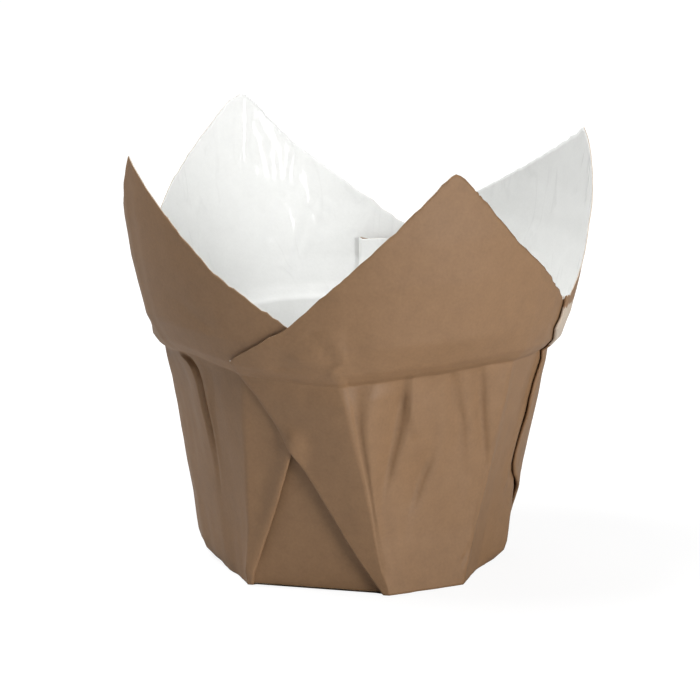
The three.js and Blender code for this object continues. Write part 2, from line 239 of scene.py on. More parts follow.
FRONT_PETAL = Petal(
    axis=0,
    lean=0.5,
    edge=((-59, 37.9), (-40.8, 44.3), (-19.9, 56.7), (-3.5, 66.9), (-2.3, 67.5), (-1, 67.8), (0.4, 67.5),
          (1.5, 66.7), (10.8, 60.5), (17.7, 56.1), (34.5, 48.5), (45, 44.6)),
    corners=((-12.6, 18.7), (-28, 28)),
    creases=(
        ((0, -12, 0), (0.11, -15.7, 0.15), (0.25, -18, 0.4), (0.39, -19.8, 0.7), (0.53, -21.9, 0.9),
         (0.68, -24.3, 1.3), (0.82, -25.7, 1.4), (0.91, -26.3, 1.3), (1, -28, 0.6), (1.12, -28, 0.1)),
        ((0, -11.3, 0), (0.11, -15, 0), (0.25, -17.2, 0.15), (0.39, -18.9, 0.3), (0.53, -20.9, 0.4),
         (0.68, -23, 0.5), (0.82, -24.3, 0.5), (0.91, -24.8, 0.5), (1, -26, 0.2), (1.12, -26, 0)),
        ((0, -10, 0), (0.25, -15.5, 0.1), (0.39, -18.1, 0.5), (0.48, -19, 0.75), (0.61, -20.4, 1.2),
         (0.77, -21.5, 1.5), (0.94, -20.6, 1.45), (1, -21, 0.3), (1.12, -21, 0)),
        ((0, -8, 0), (0.25, -13, 0), (0.39, -15.6, 0.05), (0.47, -14.9, -0.1), (0.58, -13.5, -0.55),
         (0.69, -12, -0.75), (0.77, -11, -0.85), (0.9, -10, -0.75), (1, -11, 0)),
        ((0, -6, 0), (0.25, -10, 0), (0.39, -13.5, 0.1), (0.47, -12.6, 0.15), (0.58, -11, 0.35),
         (0.69, -8.9, 0.45), (0.77, -8, 0.45), (0.9, -7.7, 0.4), (1, -8, 0)),
        ((0, -3, 0), (0.23, -6.5, -0.05), (0.35, -5.3, -0.15), (0.41, -3.5, -0.45), (0.5, -1.3, -0.5),
         (0.57, 0.7, -0.45), (0.64, 1.8, -0.15), (0.8, 1.5, 0), (1, 1, 0)),
        ((0, -1, 0), (0.23, -3.5, 0.05), (0.35, -2.3, 0.1), (0.41, -0.6, 0.2), (0.5, 1.2, 0.25),
         (0.57, 3.4, 0.25), (0.64, 4.4, 0.15), (0.8, 4, 0), (1, 3.5, 0)),
        ((0, 6, 0), (0.3, 13, 0), (0.46, 16.2, -0.1), (0.57, 14, -0.35), (0.66, 13, -0.5), (0.74, 12, -0.6),
         (0.84, 9.6, -0.7), (0.96, 7.2, -0.65), (1, 6, 0)),
        ((0, 8, 0), (0.3, 15.5, 0), (0.46, 18.6, 0.05), (0.57, 16.9, 0.1), (0.66, 15.8, 0.15),
         (0.74, 14.8, 0.15), (0.84, 12.4, 0.15), (0.96, 9.6, 0.1), (1, 8.5, 0)),
        ((0, 13, 0), (0.3, 21, 0), (0.53, 25, -0.35), (0.61, 23, -0.5), (0.71, 21, -0.6), (0.8, 19.5, -0.65),
         (0.89, 18.4, -0.65), (0.97, 17.1, -0.5), (1, 16, 0)),
        ((0, 14.5, 0), (0.3, 22.5, 0), (0.53, 26.2, 0.1), (0.61, 24.3, 0.1), (0.71, 22.4, 0.15),
         (0.8, 20.9, 0.15), (0.89, 19.9, 0.15), (0.97, 18.8, 0.1), (1, 18, 0)),
        ((0, 18.7, 0), (0.17, 21.2, 0.2), (0.28, 24.5, 0.3), (0.39, 26, 0.35), (0.45, 26.8, 0.35),
         (0.59, 27.2, 0.3), (0.89, 26.6, 0.3), (1, 27, 0.1)),
        ((0, 21, 0), (0.3, 29, -0.1), (0.6, 32, -0.15), (1, 31, 0)),
    ),
)
RIGHT_PETAL = Petal(
    axis=90,
    lean=1.5,
    edge=((-46, 45.2), (-36, 49), (-24, 57.5), (-10, 66.6), (-6, 68.4), (-2, 67), (4.7, 65), (32, 55.1),
          (53, 47)),
    corners=((-6.5, 28), (-28, 28)),
    creases=(
        ((0, -6.5, 0), (1, -28, 0)),
        ((0, -2, 0), (0.5, -10, 0), (0.85, -11, -0.45), (1, -13, 0)),
        ((0, 3, 0), (1, -6, 0)),
        ((0, 8, 0), (0.5, 5, 0), (0.85, 1, 0.25), (1, 1, 0)),
        ((0, 14, 0), (0.45, 12, 0), (0.82, 8, -0.45), (1, 9, 0)),
        ((0, 28, 0), (1, 28, 0)),
    ),
)
BACK_PETAL = Petal(
    axis=180,
    lean=1.7,
    edge=((-50, 43.5), (-36.2, 49), (-22.7, 55), (-8, 62.5), (2, 69.6), (3.4, 70.5), (5, 70.8),
          (6.8, 70.5), (9, 69.4), (18.7, 63.1), (33.7, 54.4), (52, 42.5)),
    corners=((-15.2, 18), (-27, 27)),
    creases=(
        ((0, -15, 0), (1, -27, 0)),
        ((0, -8, 0), (0.5, -12, 0), (0.85, -10, -0.45), (1, -11, 0)),
        ((0, -2, 0), (1, -3, 0)),
        ((0, 5, 0), (1, 5, 0)),
        ((0, 11, 0), (0.4, 13, 0), (0.8, 11, -0.5), (1, 13, 0)),
        ((0, 18, 0), (1, 27, 0)),
    ),
)
LEFT_PETAL = Petal(
    axis=270,
    lean=1.4,
    edge=((-51, 41), (-35, 47), (-8, 61), (-1.5, 67.2), (1, 68.2), (3.5, 66), (15.1, 60.3), (30.1, 51.9),
          (43, 46.4), (50.5, 43.4)),
    corners=((-40.1, 22.4), (-27, 31.2)),
    creases=(
        ((0, -40.1, 0), (1, -27, 0)),
        ((0, -18, 0), (0.5, -11, 0), (0.85, -8, -0.3), (1, -12, 0)),
        ((0, -4, 0), (0.35, 2.5, 0), (0.55, 4, 0.2), (0.69, 4.4, 0.45), (0.88, 4.4, 0.5),
         (0.95, 2.4, 0.45), (1, -6, 0.1)),
        ((0, -2, 0), (0.35, 4.2, 0), (0.55, 5.8, -0.3), (0.69, 5.9, -1.2), (0.8, 5.6, -1.4),
         (0.88, 5.9, -1.4), (0.95, 4, -1.1), (1, -3, -0.1)),
        ((0, 0, 0), (0.35, 6, 0), (0.55, 7.6, 0.1), (0.69, 8.2, 0.3), (0.88, 8.4, 0.35), (0.95, 7.5, 0.3),
         (1, 3, 0.1)),
        ((0, 7, 0), (0.5, 9.5, 0), (0.75, 10.4, -0.1), (0.84, 12.4, -0.15), (0.96, 14, -0.15), (1, 14.5, 0)),
        ((0, 15, 0), (0.3, 18.5, 0.15), (0.64, 17.2, 0.2), (0.82, 18.2, 0.2), (1, 20.5, 0)),
        ((0, 21.6, 0), (0.11, 24, 0.1), (0.48, 26.8, 0.2), (1, 31.2, 0)),
    ),
)
PETALS = (FRONT_PETAL, RIGHT_PETAL, BACK_PETAL, LEFT_PETAL)

PLEATS = (
    Pleat(45, Side.RIGHT, 42.6,
          left=Flap(44.6, 0.95, ((0, 25), (0.2, 25), (0.35, 18), (0.5, 15), (0.76, 14), (1, 8), (1.22, 3))),
          right=Flap(45.2, 1, ((0, 38), (0.2, 32), (0.3, 25), (0.37, 16), (0.45, 10.5), (0.6, 8),
                               (0.75, 5.5), (0.85, 5.5), (0.95, 6.5), (1, 6.5), (1.04, 4), (1.12, -2.5),
                               (1.22, -1)))),
    Pleat(135, Side.RIGHT, 46.4,
          left=Flap(47, 0.95, ((0, -15), (0.2, -11), (0.64, 0), (1, 6), (1.22, 8))),
          right=Flap(43.5, 1.05, ((0, 26), (0.3, 14), (0.64, 2.5), (1, -4), (1.22, -5)))),
    Pleat(225, Side.LEFT, 45,
          left=Flap(42.5, 1.05, ((0, -24.5), (0.3, -15), (0.64, -3), (1, 6), (1.22, 7))),
          right=Flap(41, 0.95, ((0, 3), (0.25, 2.5), (0.64, 1), (1, -5), (1.22, -6)))),
    Pleat(315, Side.RIGHT, 43.5,
          left=Flap(43.4, 0.95, ((0, -21.4), (0.03, -20.6), (0.22, -14.1), (0.41, -7.2), (0.64, -0.2), (1, 5),
                                 (1.2, 5.5))),
          right=Flap(37.9, 1.05, ((0, 31), (0.12, 24), (0.25, 17), (0.46, 7.5), (0.64, -0.2), (0.79, -5),
                                  (0.92, -9.5), (1, -13.9)))),
)

WRINKLES = (
    Wrinkle(((-38.9, 44), (-36.6, 42.5), (-34.8, 41), (-32, 39.2)), 0.22, 0.45, Relief.RIDGE),
    Wrinkle(((-34.5, 43.5), (-31.5, 40.8), (-29.7, 38.8)), 0.22, 0.8),
    Wrinkle(((-31.9, 43), (-28.5, 40.6), (-27.7, 39.3)), 0.3, 0.8, Relief.RIDGE),
    Wrinkle(((-27, 44), (-24.5, 40), (-23.5, 37.5)), 0.2, 1.2),
    Wrinkle(((-39.5, 39.4), (-35.6, 39.1)), 0.4, 0.8, Relief.RIDGE),
    Wrinkle(((-44, 37.6), (-34, 37)), 0.3, 0.8),
    Wrinkle(((-29.8, 38), (-28.7, 36.1), (-26.7, 34.3)), 0.35, 0.5, Relief.RIDGE),
    Wrinkle(((-28.3, 37.2), (-26, 34.2)), 0.45, 0.5),
    Wrinkle(((-21, 36.5), (-21.4, 32)), 0.3, 0.45),
    Wrinkle(((-38.2, 34.2), (-39, 31.7)), 0.2, 0.4),
    Wrinkle(((-8.1, 36.3), (-7.9, 34.1), (-8.3, 32.7), (-7.3, 30.7), (-6.6, 28.9), (-5.4, 27.6),
             (-4.9, 26.1)), 0.4, 0.5, Relief.RIDGE),
    Wrinkle(((-9.2, 35.5), (-9.2, 33), (-8.9, 30.5)), 0.35, 0.45),
    Wrinkle(((-2.5, 35), (-3, 32)), 0.15, 0.6),
    Wrinkle(((6.9, 35.5), (8, 33), (9.6, 30)), 0.25, 0.5, Relief.RIDGE),
    Wrinkle(((13, 35.5), (13.4, 33)), 0.15, 0.5, Relief.RIDGE),
    Wrinkle(((26.8, 35.7), (25.6, 32.9), (26.1, 29.1)), 0.25, 0.7, Relief.RIDGE),
    Wrinkle(((24.6, 35.7), (23.6, 32.9), (24, 30)), 0.2, 0.6),
    Wrinkle(((20.7, 6.9), (19.8, 5.4), (17.9, 3.9)), 0.2, 0.4),
    Wrinkle(((52, 34), (51.5, 29), (51, 22), (51.5, 14)), 0.5, 1.2, Relief.RIDGE),
    Wrinkle(((-44, 25), (-48, 20), (-52.5, 15), (-59.5, 8), (-65, 2.5)), 0.9, 1.8, Relief.RIDGE),
    Wrinkle(((-75, 46.4), (-65, 43)), 0.15, 1.2),
    Wrinkle(((170.4, 61.8), (172.7, 57.7), (175.9, 52.8), (180, 48.3), (182.2, 45.6)), 0.16, 0.7,
            Relief.STEP),
    Wrinkle(((167.2, 53.4), (170.9, 47.3), (175, 41.4)), 0.2, 0.9, Relief.STEP),
    Wrinkle(((162.5, 52.5), (166, 47.6), (171.8, 42)), 0.14, 0.7, Relief.STEP),
    Wrinkle(((197.4, 53), (198.6, 49.8), (200, 46.7)), 0.12, 0.6, Relief.STEP),
    Wrinkle(((183.9, 56.4), (186.8, 50.8), (188.5, 46.8)), 0.12, 0.7, Relief.STEP),
    Wrinkle(((94.4, 60.4), (93.9, 53.9), (91.1, 47.6)), 0.1, 0.8, Relief.STEP),
    Wrinkle(((105.3, 59.6), (103.5, 54.7), (102.7, 49.9)), 0.1, 0.8, Relief.STEP),
)
# Width of a stepped wrinkle's step, as a share of the wrinkle's width
STEP_SHARPNESS = 0.35
# Radius at which wrinkles and cockles are measured, whatever the wall's own radius is
MIDDLE_RADIUS = 30.0
COCKLES = (Cockle(0.13, 6.0, 11.0), Cockle(0.07, 2.2, 5.0))
SCALLOP_SEED = 7
# Patch on the right petal's flap painted with the lining's white, darkened and tinted as in shade: painted
# shade and painted bounced light
SHADED_LINING_PATCH = Patch((38.0, 74.0), (36.6, 43.4))


def look_up(table: Table, at: np.ndarray) -> np.ndarray:
    """Value of a table of (position, value) pairs, straight between its points.

    Args:
        table: Pairs in rising order of position.
        at: Positions to read.

    Returns:
        The value at each position.
    """
    return np.interp(at, [pair[0] for pair in table], [pair[1] for pair in table])


def smooth(x: np.ndarray) -> np.ndarray:
    """Smooth step from 0 to 1."""
    x = np.clip(x, 0, 1)
    return x * x * (3 - 2 * x)


class Wall:
    """The cup's wall without its stacked layers: radius and shoulder at any angle and height."""

    def __init__(self, size: CupSize) -> None:
        self.size = size

    def ring(self, share: np.ndarray, angle: np.ndarray) -> np.ndarray:
        """Radius of the eight-sided ring of unit corner radius.

        Args:
            share: Height as a share of the shoulder height.
            angle: Angles to read.

        Returns:
            The radius at each angle.
        """
        share = np.clip(share, 0, 1)
        corners = [petal.axis + petal.corners[0][i] + (petal.corners[1][i] - petal.corners[0][i]) * share
                   for petal in PETALS for i in (0, 1)]
        wrapped = (angle - corners[0]) % FULL_TURN + corners[0]
        corners.append(corners[0] + FULL_TURN)
        radius = np.ones_like(wrapped)
        for start, end in zip(corners, corners[1:]):
            half = np.radians(end - start) / 2
            chord = np.cos(half) / np.cos(np.radians(wrapped - start) - half)
            radius = np.where((wrapped >= start) & (wrapped <= end), chord, radius)
        return radius

    def radius(self, angle: np.ndarray, height: np.ndarray) -> np.ndarray:
        """Radius of the wall's middle surface.

        Args:
            angle: Angles to read.
            height: Heights to read, one for each angle.

        Returns:
            The radius at each place.
        """
        size = self.size
        share = height / size.shoulder_height
        above = (height - size.shoulder_height) / size.upper_rise
        outward = look_up(UPPER_FLARE, above) * (size.rim_radius - size.shoulder_radius)
        corner = size.base_radius + look_up(LOWER_FLARE, share) * (size.shoulder_radius - size.base_radius)
        worn = smooth((share - size.rounding_start) / size.rounding_span)
        rounding = np.clip(size.corner_rounding * share + (1 - size.corner_rounding) * worn, 0, 1)
        outline = self.ring(share, angle) * (1 - rounding) + rounding
        return outline * corner + outward + self.swell(angle, height)

    def swell(self, angle: np.ndarray, height: np.ndarray) -> np.ndarray:
        """How far the wall stands out of round."""
        turn = angle % FULL_TURN
        share = height / self.size.shoulder_height
        profile = np.where(turn < self.size.left_side_start, look_up(RIGHT_PROFILE, share),
                           look_up(LEFT_PROFILE, share))
        below = look_up(LOWER_SWELL, turn) * profile
        above = look_up(UPPER_SWELL, turn)
        return below + (above - below) * smooth((height - self.size.shoulder_height) / self.size.swell_span)

    def crease_rise(self, angle: np.ndarray, height: np.ndarray) -> np.ndarray:
        """How far the wall is raised to follow the shoulder crease round the cup."""
        wave = look_up(SHOULDER_WAVE, angle % FULL_TURN)
        foot = self.size.wave_foot
        return wave * smooth((height / self.size.shoulder_height - foot) / (1 - foot))


class Station:
    """A line up the wall, given by its place in the section at each height."""

    def __init__(self, rim: float) -> None:
        self.rim = rim

    def strip(self, height: np.ndarray) -> Strip:
        """The station at each height."""
        raise NotImplementedError

    def looseness(self) -> float:
        """How freely the paper here follows a small wrinkle, from 0 to 1."""
        return 0.0


class Folds:
    """Geometry of the folded layers at a notch."""

    def __init__(self, size: CupSize, wall: Wall) -> None:
        self.size = size
        self.wall = wall

    def turn(self, height: np.ndarray) -> np.ndarray:
        """How far the layers have turned over, in radians."""
        opened = (height - self.size.pleat_foot) / (self.size.pleat_start - self.size.pleat_foot)
        return np.clip(opened * math.pi, self.size.least_turn, math.pi)

    def flap_offset(self, pleat: Pleat, side: Side, height: np.ndarray) -> np.ndarray:
        """Offset of a flap's paper from the wall."""
        turn = self.turn(height)
        stacking = math.pi * (1 - np.cos(turn)) / (2 * turn)
        return (1 if pleat.top is side else -1) * self.size.layer_pitch * stacking

    def flap_angle(self, pleat: Pleat, side: Side, height: np.ndarray) -> np.ndarray:
        """Angle at which a flap begins to bend."""
        return pleat.notch + look_up(pleat.flap(side).fold, height / self.size.shoulder_height)

    def section(self, pleat: Pleat, side: Side, height: np.ndarray) -> list[Strip]:
        """Stations of one fold, from the flap to the notch panel.

        Args:
            pleat: The pleat.
            side: The flap's side of the notch.
            height: Heights to read.

        Returns:
            One strip for each station.
        """
        size = self.size
        turn = self.turn(height)
        tight = size.bend_radius
        wide = tight * (3 if pleat.top is side else 1)
        growth = look_up(PLEAT_GROWTH, height / size.shoulder_height)
        width = size.pleat_depth * pleat.flap(side).depth * growth
        start = self.flap_angle(pleat, side, height)
        base = self.flap_offset(pleat, side, height)
        per_mm = np.degrees(1 / self.wall.radius(start, height))
        points: list[tuple[np.ndarray, np.ndarray, np.ndarray]] = []
        self._bend(points, np.zeros_like(height), np.zeros_like(height), tight, turn * 0, turn, turn)
        travel, offset, _ = points[-1]
        for i in range(1, size.return_steps + 1):
            back = width * i / size.return_steps
            points.append((travel + back * np.cos(turn), offset - back * np.sin(turn), turn))
        travel, offset, _ = points.pop()
        self._bend(points, travel, offset, wide, turn, turn * 0, turn)
        return [Strip(start + side.value * t * per_mm, base + o, side.value * np.sin(now), np.cos(now))
                for t, o, now in points]

    def _bend(self, points: list, travel: np.ndarray, offset: np.ndarray, radius: float, begin: np.ndarray,
              end: np.ndarray, turn: np.ndarray) -> None:
        """Adds the points of one bend.

        Args:
            points: Points so far, as (travel round the cup, offset, angle of the paper).
            travel: Travel where the bend begins.
            offset: Offset where the bend begins.
            radius: The bend's radius when the fold is closed.
            begin: Angle of the paper where the bend begins.
            end: Angle of the paper where the bend ends.
            turn: How far the layers have turned over.
        """
        scale = math.pi * radius / turn * np.sign(end - begin)
        for i in range(self.size.bend_steps + 1):
            now = begin + (end - begin) * i / self.size.bend_steps
            points.append((travel + scale * (np.sin(now) - np.sin(begin)),
                           offset + scale * (np.cos(now) - np.cos(begin)), now))


class FoldStation(Station):
    """A station on one of a pleat's folds."""

    def __init__(self, folds: Folds, pleat: Pleat, side: Side, index: int, count: int) -> None:
        bend = folds.size.bend_steps
        share = min(1.0, max(0.0, (index - bend) / (count - 1 - 2 * bend)))
        super().__init__(pleat.flap(side).rim + (pleat.rim - pleat.flap(side).rim) * share)
        self.folds, self.pleat, self.side, self.index = folds, pleat, side, index

    def strip(self, height: np.ndarray) -> Strip:
        """The station at each height."""
        return self.folds.section(self.pleat, self.side, height)[self.index]

    def looseness(self) -> float:
        """The first bend moves with its flap and the paper behind it less and less."""
        size = self.folds.size
        return min(1.0, max(0.0, 1 - (self.index - size.bend_steps) / size.return_steps))


class NotchStation(Station):
    """A station on the panel behind a pleat's flaps."""

    def __init__(self, folds: Folds, pleat: Pleat, share: float) -> None:
        super().__init__(pleat.rim)
        self.folds, self.pleat, self.share = folds, pleat, share

    def strip(self, height: np.ndarray) -> Strip:
        """The station at each height."""
        low = self.folds.section(self.pleat, Side.LEFT, height)[-1]
        high = self.folds.section(self.pleat, Side.RIGHT, height)[-1]
        return Strip(low.angle + (high.angle - low.angle) * self.share,
                     low.offset + (high.offset - low.offset) * self.share,
                     np.zeros_like(height), np.ones_like(height))


class PanelStation(Station):
    """A station on a petal's panel, between two of its lines."""

    def __init__(self, panel: "Panel", line: int, share: float) -> None:
        self.panel, self.line, self.share = panel, line, share
        size = panel.folds.size
        top = np.array([size.shoulder_height * size.rim_probe])
        super().__init__(float(look_up(panel.petal.edge, self.strip(top).angle - panel.petal.axis)[0]))

    def strip(self, height: np.ndarray) -> Strip:
        """The station at each height."""
        return self.panel.strip(self.line, self.share, height)

    def looseness(self) -> float:
        """A panel follows its wrinkles fully."""
        return 1.0


class Panel:
    """A petal's panel from flap to flap, with its creases."""

    def __init__(self, folds: Folds, petal: Petal, before: Pleat, after: Pleat) -> None:
        self.folds, self.petal, self.before, self.after = folds, petal, before, after

    def lines(self, height: np.ndarray) -> list[tuple[np.ndarray, np.ndarray]]:
        """Angle from the axis and lift of each line, flap edges included."""
        share = height / self.folds.size.shoulder_height
        wrap = FULL_TURN if self.before.notch > self.petal.axis else 0
        start = self.folds.flap_angle(self.before, Side.RIGHT, height) - self.petal.axis - wrap
        end = self.folds.flap_angle(self.after, Side.LEFT, height) - self.petal.axis
        creases = [(look_up(tuple((at, angle) for at, angle, _ in crease), share),
                    look_up(tuple((at, lift) for at, _, lift in crease), share))
                   for crease in self.petal.creases]
        flat = np.zeros_like(height)
        return [(start, flat), *creases, (end, flat)]

    def stations(self) -> list[PanelStation]:
        """Stations across the panel at an even spacing, without its first line, which is the flap's last."""
        size = self.folds.size
        lines = self.lines(np.array([size.shoulder_height * size.spacing_probe]))
        made = []
        for i, (low, high) in enumerate(zip(lines, lines[1:])):
            steps = max(2, round(float(high[0][0] - low[0][0]) / size.panel_step))
            skipped = 1 if i == 0 else 0
            made += [PanelStation(self, i, (step + skipped) / (steps + skipped)) for step in range(steps)]
        return made

    def strip(self, line: int, share: float, height: np.ndarray) -> Strip:
        """A station between one line and the next.

        Args:
            line: Place of the first line in the panel's lines.
            share: Share of the way to the next line.
            height: Heights to read.

        Returns:
            The station at each height.
        """
        lines = self.lines(height)
        (angle, lift), (next_angle, next_lift) = lines[line], lines[line + 1]
        angle = angle + (next_angle - angle) * share
        eased = (share + float(smooth(np.array(share)))) / 2
        lift = lift + (next_lift - lift) * eased
        size = self.folds.size
        before = self.folds.flap_offset(self.before, Side.RIGHT, height)
        after = self.folds.flap_offset(self.after, Side.LEFT, height)
        reach = np.abs(angle / np.where(angle < 0, lines[0][0], lines[-1][0]))
        flap = np.where(angle < 0, before, after) * smooth(reach / size.flap_spread)
        rise = np.clip((height - size.shoulder_height) / size.upper_rise, 0, None)
        lean = self.petal.lean * rise ** 2 * np.cos(np.radians(np.clip(np.abs(angle), 0, 90)))
        flat = np.zeros_like(height)
        return Strip(self.petal.axis + angle, flap + lift + lean, flat, flat + 1)


@dataclass
class Sheet:
    """Grid of the sheet: rows are stations round the cup, columns are levels up the wall."""

    angle: np.ndarray
    height: np.ndarray
    offset: np.ndarray
    along: np.ndarray
    out: np.ndarray
    loose: np.ndarray
    wall: Wall = field(repr=False)

    def z(self) -> np.ndarray:
        """Height of each place in the finished cup, with the shoulder's wave in it."""
        return self.height + self.wall.crease_rise(self.angle, self.height)

    def face(self, side: int) -> np.ndarray:
        """Points of one face of the sheet.

        Args:
            side: 1 for the outer face, -1 for the inner one.

        Returns:
            The points in metres, as rows by levels by three.
        """
        half = side * self.wall.size.paper / 2
        turn = np.radians(self.angle)
        radius = self.wall.radius(self.angle, self.height) + self.offset + half * self.out
        across = half * self.along
        points = np.stack([radius * np.sin(turn) + across * np.cos(turn),
                           -radius * np.cos(turn) + across * np.sin(turn), self.z()], axis=-1)
        if side < 0:
            points[:, 0, 2] += self.wall.size.paper
        return points * MM


class CupBuilder:
    """Builds the sheet's grid and its mesh."""

    def __init__(self, size: CupSize) -> None:
        self.size = size
        self.wall = Wall(size)
        self.folds = Folds(size, self.wall)
        self.front_count = 0
        self.stations = self._stations()

    def _stations(self) -> list[Station]:
        """All stations round the cup, in order. The front petal's come first and are counted."""
        made: list[Station] = []
        height = np.array([self.size.shoulder_height])
        steps = self.size.notch_steps
        for i, petal in enumerate(PETALS):
            before, pleat = PLEATS[i - 1], PLEATS[i]
            made += Panel(self.folds, petal, before, pleat).stations()
            count = len(self.folds.section(pleat, Side.LEFT, height))
            made += [FoldStation(self.folds, pleat, Side.LEFT, j, count) for j in range(count)]
            if petal is FRONT_PETAL:
                self.front_count = len(made)
            made += [NotchStation(self.folds, pleat, j / steps) for j in range(1, steps)]
            made += [FoldStation(self.folds, pleat, Side.RIGHT, j, count) for j in reversed(range(count))]
        return made

    def heights(self, rim: float) -> np.ndarray:
        """Levels of one station.

        Args:
            rim: Height of the station's cut edge.

        Returns:
            Heights from the base to the rim, close together at the foot and at the shoulder's crease.
        """
        size = self.size
        crease = (size.shoulder_height - size.crease_half, size.shoulder_height + size.crease_half)
        foot = np.linspace(0, size.foot_height, size.foot_levels)
        lower = np.linspace(size.foot_height, crease[0], size.lower_levels)[1:]
        band = np.linspace(*crease, size.crease_levels)[1:]
        upper = band[-1] + (rim - band[-1]) * np.linspace(0, 1, size.upper_levels)[1:] ** size.upper_crowding
        return np.concatenate([foot, lower, band, upper])

    def sheet(self) -> Sheet:
        """Grid of the whole sheet with its wrinkles."""
        middle = np.array([self.size.shoulder_height])
        rng = np.random.default_rng(SCALLOP_SEED)
        levels = []
        for station in self.stations:
            rise = float(self.wall.crease_rise(station.strip(middle).angle, middle)[0])
            levels.append(self.heights(station.rim - rise + float(rng.normal(0, self.size.scallop))))
        strips = [station.strip(heights) for station, heights in zip(self.stations, levels)]
        sheet = Sheet(
            height=np.stack(levels),
            loose=np.array([[station.looseness()] for station in self.stations]),
            wall=self.wall,
            **{name: np.stack([getattr(strip, name) for strip in strips])
               for name in ("angle", "offset", "along", "out")},
        )
        self._wrinkle(sheet)
        LOG.info("sheet grid %d stations by %d levels", *sheet.angle.shape)
        return sheet

    def _wrinkle(self, sheet: Sheet) -> None:
        """Presses the small wrinkles into the panels.

        Args:
            sheet: The grid, whose offset is changed.
        """
        z = sheet.z()
        per_degree = math.radians(1) * MIDDLE_RADIUS
        for wrinkle in WRINKLES:
            first = wrinkle.line[0][0]
            angle = (sheet.angle - first + FULL_TURN / 2) % FULL_TURN - FULL_TURN / 2 + first
            nearest = np.full_like(z, np.inf)
            beside = np.zeros_like(z)
            for (a0, z0), (a1, z1) in zip(wrinkle.line, wrinkle.line[1:]):
                dx, dz = (a1 - a0) * per_degree, z1 - z0
                px, pz = (angle - a0) * per_degree, z - z0
                length = math.hypot(dx, dz)
                t = np.clip((px * dx + pz * dz) / length ** 2, 0, 1)
                gap = np.hypot(px - t * dx, pz - t * dz)
                nearer = gap < nearest
                nearest = np.where(nearer, gap, nearest)
                beside = np.where(nearer, (pz * dx - px * dz) / length, beside)
            shape = np.exp(-(nearest / wrinkle.width) ** 2)
            if wrinkle.relief is Relief.STEP:
                shape = shape * np.tanh(beside / (STEP_SHARPNESS * wrinkle.width))
            sign = -1 if wrinkle.relief is Relief.VALLEY else 1
            sheet.offset += sign * wrinkle.height * shape * sheet.loose
        sheet.offset += self._cockle(sheet.angle, z) * sheet.loose

    @staticmethod
    def _cockle(angle: np.ndarray, z: np.ndarray) -> np.ndarray:
        """Slight unevenness of pressed paper, streaked up the wall.

        Args:
            angle: Angle of each place.
            z: Height of each place.

        Returns:
            How far each place stands out.
        """
        uneven = np.zeros_like(z)
        for index in np.ndindex(z.shape):
            turn = math.radians(angle[index])
            x, y, up = MIDDLE_RADIUS * math.sin(turn), MIDDLE_RADIUS * math.cos(turn), z[index]
            uneven[index] = sum(cockle.height * noise.noise(Vector((x / cockle.across, y / cockle.across,
                                                                    up / cockle.upward)))
                                for cockle in COCKLES)
        return uneven

    def _floor_ring(self) -> list[tuple[float, float]]:
        """Places just inside the base's edge, one for each station, in metres.

        The stations are read below the pleats' foot, where the sheet is not folded.
        """
        below = np.array([2 * self.size.pleat_foot])
        angle = np.array([station.strip(below).angle[0] for station in self.stations])
        radius = self.size.floor_share * self.wall.radius(angle, np.zeros_like(angle)) * MM
        turn = np.radians(angle)
        return list(zip((radius * np.sin(turn)).tolist(), (-radius * np.cos(turn)).tolist()))

    def _pale_cells(self, sheet: Sheet) -> np.ndarray:
        """Which cells of the grid get the painted shade: those of the patch on the right petal's flap,
        coloured as the lining looks in shade.
        """
        pale = SHADED_LINING_PATCH.covers(sheet.angle, sheet.z()) & (sheet.loose > 0)
        pale[:self.front_count] = False
        return pale

    def mesh(self) -> bpy.types.Mesh:
        """Mesh of the whole cup, one closed skin.

        Its points are the outer face's, the inner face's, the floor rings' and the two centres' of the base.
        """
        sheet = self.sheet()
        rows, levels = sheet.angle.shape
        thick = self.size.paper * MM
        ring = self._floor_ring()
        verts = [tuple(point) for side in (1, -1) for point in sheet.face(side).reshape(-1, 3)]
        verts += [(x, y, z) for z in (0.0, thick) for x, y in ring]
        verts += [(0.0, 0.0, 0.0), (0.0, 0.0, thick)]
        inside = rows * levels
        under = 2 * inside
        over = under + rows
        low_centre, high_centre = over + rows, over + rows + 1
        pale = self._pale_cells(sheet)
        faces: list[tuple[int, ...]] = []
        kinds: list[Face] = []
        for i in range(rows):
            j = (i + 1) % rows
            for k in range(levels - 1):
                a, b = i * levels + k, j * levels + k
                faces += [(a, b, b + 1, a + 1), (inside + b, inside + a, inside + a + 1, inside + b + 1)]
                # Cells of the patch take the painted shade of the lining
                kinds += [Face.PALE if pale[i, k] else Face.OUTSIDE, Face.LINING]
            a, b = i * levels, j * levels
            top_a, top_b = a + levels - 1, b + levels - 1
            faces += [(top_a, top_b, inside + top_b, inside + top_a),
                      (b, a, under + i, under + j), (under + j, under + i, low_centre),
                      (inside + a, inside + b, over + j, over + i), (over + i, over + j, high_centre)]
            kinds += [Face.CUT_EDGE, Face.OUTSIDE, Face.OUTSIDE, Face.LINING, Face.LINING]
        mesh = bpy.data.meshes.new("tulip_cup_paper")
        mesh.from_pydata(verts, [], faces)
        mesh.polygons.foreach_set("material_index", [kind.value for kind in kinds])
        mesh.polygons.foreach_set("use_smooth", [min(face) < under for face in faces])
        mesh.validate()
        mesh.update()
        LOG.info("cup mesh %d faces", len(faces))
        return mesh


@dataclass(frozen=True)
class Finish:
    """Look of one face of the paper. The contrast is that of its fibres."""

    name: str
    colour: tuple[float, float, float]
    roughness: float
    coat: float = 0.0
    contrast: float = 0.07


BROWN = Finish("brown_paper", (0.243, 0.137, 0.066), 0.62)
WHITE = Finish("glossy_lining", (0.845, 0.85, 0.835), 0.6, 1.0, 0.02)
EDGE = Finish("cut_edge", (0.62, 0.54, 0.45), 0.8)
# Beige for the patch: the lining's white with its shade and the brown paper's bounced light painted in
PALE = Finish("painted_shade_patch", (0.52, 0.43, 0.34), 0.55)


